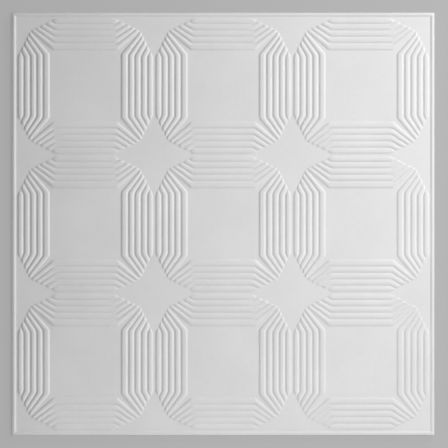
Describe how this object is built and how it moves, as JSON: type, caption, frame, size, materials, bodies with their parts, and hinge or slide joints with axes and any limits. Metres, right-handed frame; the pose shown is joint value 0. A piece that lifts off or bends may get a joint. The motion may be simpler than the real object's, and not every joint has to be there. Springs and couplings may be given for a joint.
{
  "type": "ceiling tile",
  "caption": "Square glue-up ceiling tile of thin white foam: square cells framed by nested bent ribs, flat star corners, a raised rim and a flat back.",
  "frame": {"origin": "middle of the flat back, on the plane that the tile lies on", "axes": "+Z out of the patterned face, +X and +Y along the tile's two edges"},
  "size_m": [0.5, 0.5, 0.0041],
  "materials": {
    "white_foam": "smooth satin white foam skin, faintly mottled"
  },
  "bodies": {
    "root": {"foam_tile": "white_foam"}
  },
  "joints": []
}
